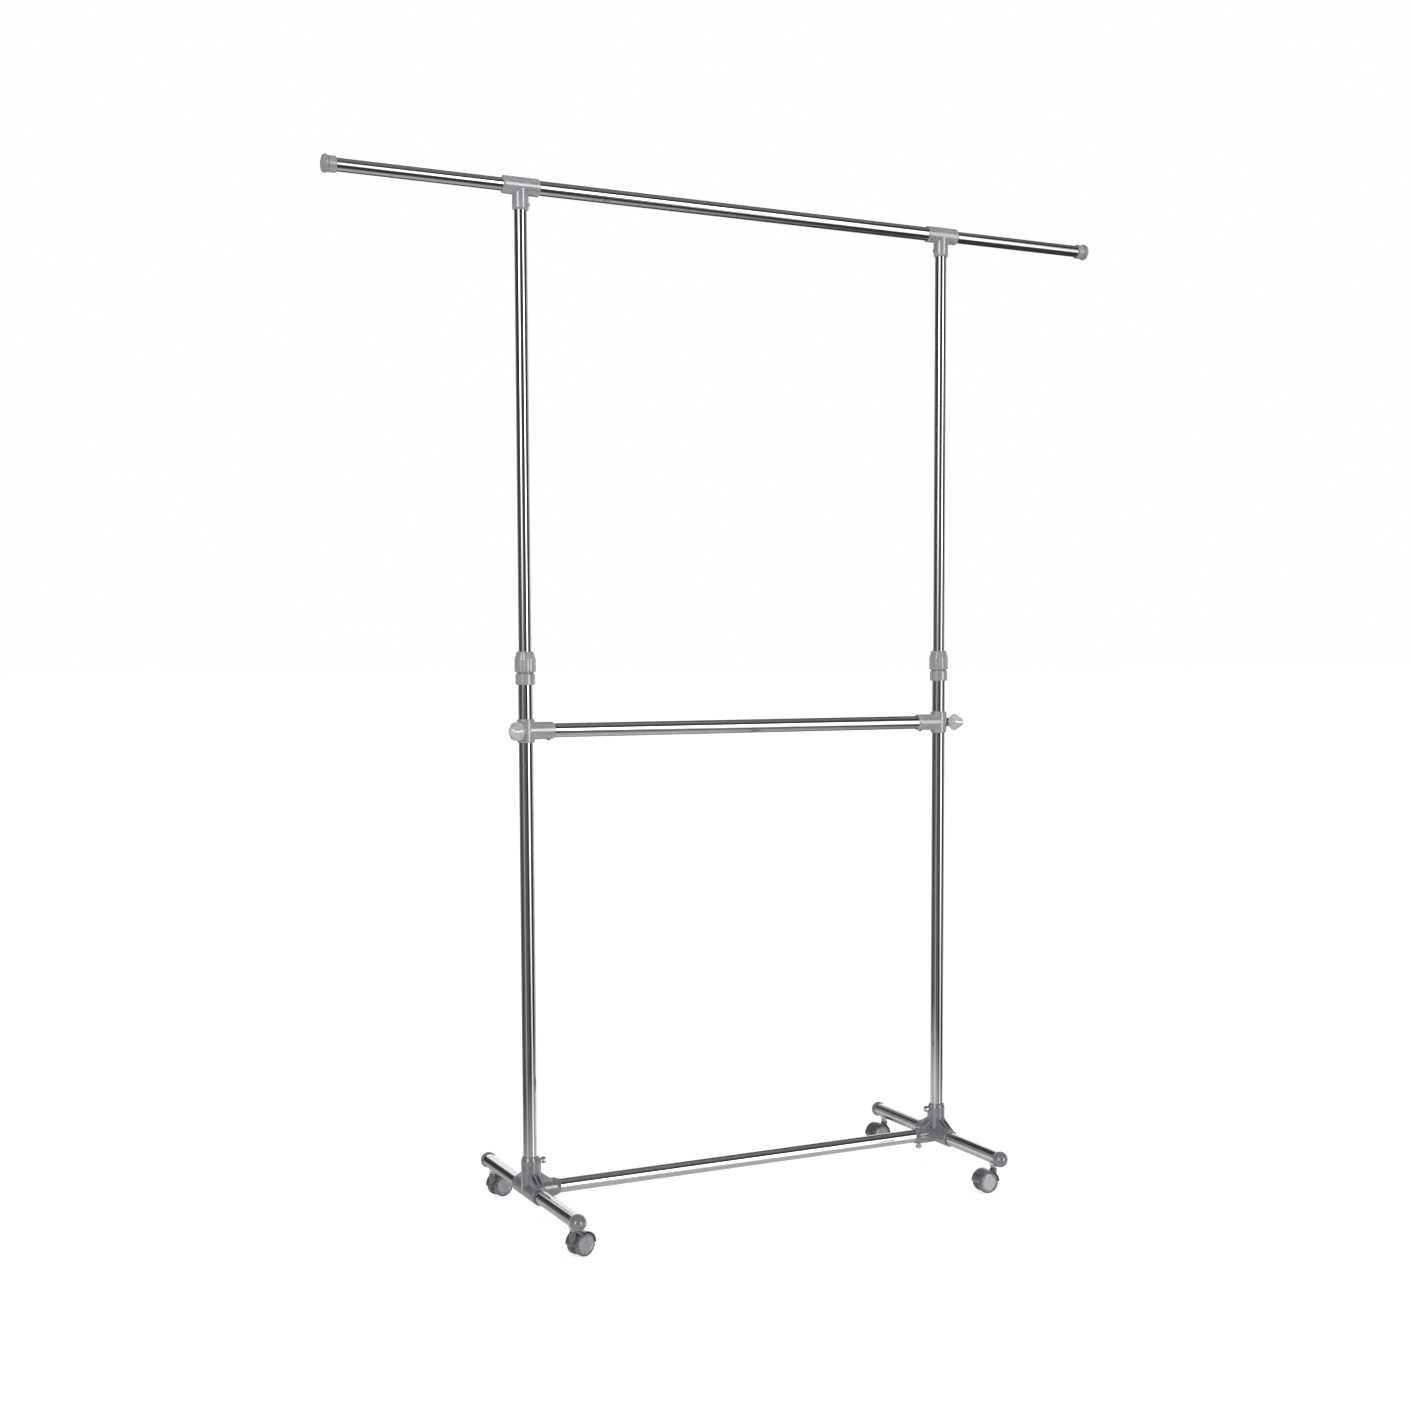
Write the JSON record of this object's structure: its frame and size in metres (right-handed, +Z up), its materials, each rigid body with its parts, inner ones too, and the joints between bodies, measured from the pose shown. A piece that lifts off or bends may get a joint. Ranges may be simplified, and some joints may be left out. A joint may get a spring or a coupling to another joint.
{
  "type": "rolling clothes rack",
  "caption": "Rolling clothes rack of polished tube: telescopic hanging rail, height set by twist locks, sliding lower rail, swivelling twin-wheel casters.",
  "frame": {"origin": "on the floor, midway between the two uprights, under the rails", "axes": "+X along the rails, +Y from front to back across the feet, +Z up"},
  "size_m": [1.5, 0.48, 1.8],
  "materials": {
    "chrome_tube": "polished, long straight reflections",
    "grey_plastic": "satin moulded, fine texture",
    "light_grey_plastic": "satin moulded, fine texture",
    "dark_grey_plastic": "satin moulded, fine texture",
    "caster_plastic": "moulded nylon",
    "wheel_plastic": "moulded nylon, darker tread",
    "bright_steel": "plated",
    "brass_insert": "turned",
    "natural_nylon": "as moulded",
    "black_washer": "as moulded"
  },
  "bodies": {
    "base_frame": {"left_base_connector": "dark_grey_plastic", "left_foot_tube": "chrome_tube", "left_foot_caps": "dark_grey_plastic", "left_lower_upright": "chrome_tube", "left_lock_body": "grey_plastic", "right_base_connector": "dark_grey_plastic", "right_foot_tube": "chrome_tube", "right_foot_caps": "dark_grey_plastic", "right_lower_upright": "chrome_tube", "right_lock_body": "grey_plastic", "bottom_rail": "chrome_tube", "upright_screws": "bright_steel", "rail_screws": "bright_steel", "caster_sockets": "natural_nylon"},
    "upper_frame": {"left_upper_upright": "chrome_tube", "left_top_tee": "grey_plastic", "right_upper_upright": "chrome_tube", "right_top_tee": "grey_plastic", "top_rail": "chrome_tube", "tee_screws": "bright_steel", "upright_end_plugs": "natural_nylon", "rail_guide_bushes": "natural_nylon"},
    "mid_rail_set": {"mid_rail": "chrome_tube", "left_rail_clamp": "grey_plastic", "right_rail_clamp": "grey_plastic", "clamp_socket_screws": "bright_steel", "clamp_inserts": "brass_insert"},
    "left_extension": {"left_extension_tube": "chrome_tube", "left_extension_stop": "natural_nylon", "left_end_cap": "grey_plastic"},
    "left_nut": {"left_lock_nut": "grey_plastic"},
    "left_knob": {"left_clamp_knob": "light_grey_plastic", "left_clamp_stud": "black_washer"},
    "right_extension": {"right_extension_tube": "chrome_tube", "right_extension_stop": "natural_nylon", "right_end_cap": "grey_plastic"},
    "right_nut": {"right_lock_nut": "grey_plastic"},
    "right_knob": {"right_clamp_knob": "light_grey_plastic", "right_clamp_stud": "black_washer"},
    "front_left_caster": {"front_left_caster_stem": "bright_steel", "front_left_caster_hood": "caster_plastic", "front_left_caster_axle": "bright_steel"},
    "front_left_wheel_a_body": {"front_left_wheel_a": "wheel_plastic"},
    "front_left_wheel_b_body": {"front_left_wheel_b": "wheel_plastic"},
    "front_right_caster": {"front_right_caster_stem": "bright_steel", "front_right_caster_hood": "caster_plastic", "front_right_caster_axle": "bright_steel"},
    "front_right_wheel_a_body": {"front_right_wheel_a": "wheel_plastic"},
    "front_right_wheel_b_body": {"front_right_wheel_b": "wheel_plastic"},
    "rear_left_caster": {"rear_left_caster_stem": "bright_steel", "rear_left_caster_hood": "caster_plastic", "rear_left_caster_axle": "bright_steel"},
    "rear_left_wheel_a_body": {"rear_left_wheel_a": "wheel_plastic"},
    "rear_left_wheel_b_body": {"rear_left_wheel_b": "wheel_plastic"},
    "rear_right_caster": {"rear_right_caster_stem": "bright_steel", "rear_right_caster_hood": "caster_plastic", "rear_right_caster_axle": "bright_steel"},
    "rear_right_wheel_a_body": {"rear_right_wheel_a": "wheel_plastic"},
    "rear_right_wheel_b_body": {"rear_right_wheel_b": "wheel_plastic"}
  },
  "joints": [
    {"name": "height_slide", "type": "slide", "parent": "base_frame", "child": "upper_frame", "axis": [0, 0, 1], "range_m": [-0.72, 0]},
    {"name": "mid_rail_slide", "type": "slide", "parent": "base_frame", "child": "mid_rail_set", "axis": [0, 0, 1], "range_m": [-0.72, 0.055]},
    {"name": "left_nut_turn", "type": "hinge", "parent": "base_frame", "child": "left_nut", "pos_m": [-0.416, 0, 0.98], "axis": [0, 0, 1], "range_deg": [0, 120]},
    {"name": "left_knob_turn", "type": "hinge", "parent": "mid_rail_set", "child": "left_knob", "pos_m": [-0.416, 0, 0.867], "axis": [-0.766, -0.6428, 0], "range_deg": [0, 540]},
    {"name": "left_extension_slide", "type": "slide", "parent": "upper_frame", "child": "left_extension", "axis": [-1, 0, 0], "range_m": [-0.278, 0]},
    {"name": "right_nut_turn", "type": "hinge", "parent": "base_frame", "child": "right_nut", "pos_m": [0.416, 0, 0.98], "axis": [0, 0, 1], "range_deg": [0, 120]},
    {"name": "right_knob_turn", "type": "hinge", "parent": "mid_rail_set", "child": "right_knob", "pos_m": [0.416, 0, 0.867], "axis": [0.766, -0.6428, 0], "range_deg": [0, 540]},
    {"name": "right_extension_slide", "type": "slide", "parent": "upper_frame", "child": "right_extension", "axis": [1, 0, 0], "range_m": [-0.278, 0]},
    {"name": "front_left_swivel", "type": "hinge", "parent": "base_frame", "child": "front_left_caster", "pos_m": [-0.416, -0.203, 0.047], "axis": [0, 0, 1], "continuous": true},
    {"name": "front_left_wheel_a_spin", "type": "hinge", "parent": "front_left_caster", "child": "front_left_wheel_a_body", "pos_m": [-0.40003, -0.19719, 0.02], "axis": [-0.342, 0.9397, 0], "continuous": true},
    {"name": "front_left_wheel_b_spin", "type": "hinge", "parent": "front_left_caster", "child": "front_left_wheel_b_body", "pos_m": [-0.40003, -0.19719, 0.02], "axis": [-0.342, 0.9397, 0], "continuous": true},
    {"name": "front_right_swivel", "type": "hinge", "parent": "base_frame", "child": "front_right_caster", "pos_m": [0.416, -0.203, 0.047], "axis": [0, 0, 1], "continuous": true},
    {"name": "front_right_wheel_a_spin", "type": "hinge", "parent": "front_right_caster", "child": "front_right_wheel_a_body", "pos_m": [0.39901, -0.20241, 0.02], "axis": [-0.0349, -0.9994, 0], "continuous": true},
    {"name": "front_right_wheel_b_spin", "type": "hinge", "parent": "front_right_caster", "child": "front_right_wheel_b_body", "pos_m": [0.39901, -0.20241, 0.02], "axis": [-0.0349, -0.9994, 0], "continuous": true},
    {"name": "rear_left_swivel", "type": "hinge", "parent": "base_frame", "child": "rear_left_caster", "pos_m": [-0.416, 0.203, 0.047], "axis": [0, 0, 1], "continuous": true},
    {"name": "rear_left_wheel_a_spin", "type": "hinge", "parent": "rear_left_caster", "child": "rear_left_wheel_a_body", "pos_m": [-0.40003, 0.20881, 0.02], "axis": [-0.342, 0.9397, 0], "continuous": true},
    {"name": "rear_left_wheel_b_spin", "type": "hinge", "parent": "rear_left_caster", "child": "rear_left_wheel_b_body", "pos_m": [-0.40003, 0.20881, 0.02], "axis": [-0.342, 0.9397, 0], "continuous": true},
    {"name": "rear_right_swivel", "type": "hinge", "parent": "base_frame", "child": "rear_right_caster", "pos_m": [0.416, 0.203, 0.047], "axis": [0, 0, 1], "continuous": true},
    {"name": "rear_right_wheel_a_spin", "type": "hinge", "parent": "rear_right_caster", "child": "rear_right_wheel_a_body", "pos_m": [0.39926, 0.20005, 0.02], "axis": [0.1736, -0.9848, 0], "continuous": true},
    {"name": "rear_right_wheel_b_spin", "type": "hinge", "parent": "rear_right_caster", "child": "rear_right_wheel_b_body", "pos_m": [0.39926, 0.20005, 0.02], "axis": [0.1736, -0.9848, 0], "continuous": true}
  ]
}
